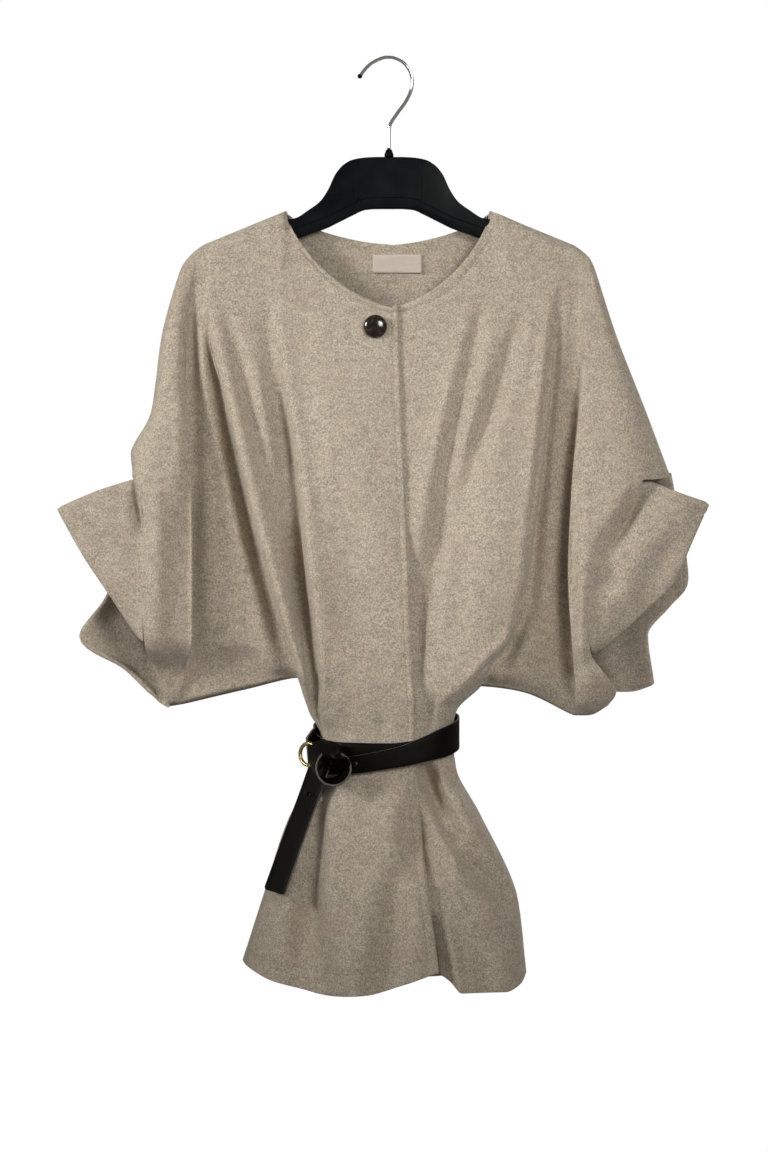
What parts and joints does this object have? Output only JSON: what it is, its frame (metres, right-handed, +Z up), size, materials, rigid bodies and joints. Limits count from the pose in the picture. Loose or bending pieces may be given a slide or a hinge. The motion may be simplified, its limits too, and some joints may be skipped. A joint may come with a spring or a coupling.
{
  "type": "belted poncho on a hanger",
  "caption": "Batwing poncho with an open front, round neck and wide sleeves, drawn in by a wrapped and knotted strap belt, hanging on a shouldered hanger with a wire hook.",
  "frame": {"origin": "inside the top of the hanger's hook, where a rail or peg carries it", "axes": "+Z up, the front of the garment towards -Y, +X to the right as seen from the front"},
  "size_m": [0.709, 0.1723, 1.0329],
  "materials": {
    "wool": "brushed, flecked",
    "horn": "polished",
    "label_cotton": "woven",
    "leather": "worn, satin",
    "brass": "satin",
    "hanger_plastic": "satin",
    "chrome": "polished"
  },
  "bodies": {
    "root": {"back": "wool", "belt_first_wrap": "leather", "belt_knot": "leather", "belt_ring": "brass", "belt_rivet": "brass", "belt_second_wrap": "leather", "belt_tail": "leather", "button": "horn", "front_left": "wool", "front_right": "wool", "hanger_body": "hanger_plastic", "hanger_collar": "hanger_plastic", "hanger_hook": "chrome", "label": "label_cotton"}
  },
  "joints": []
}
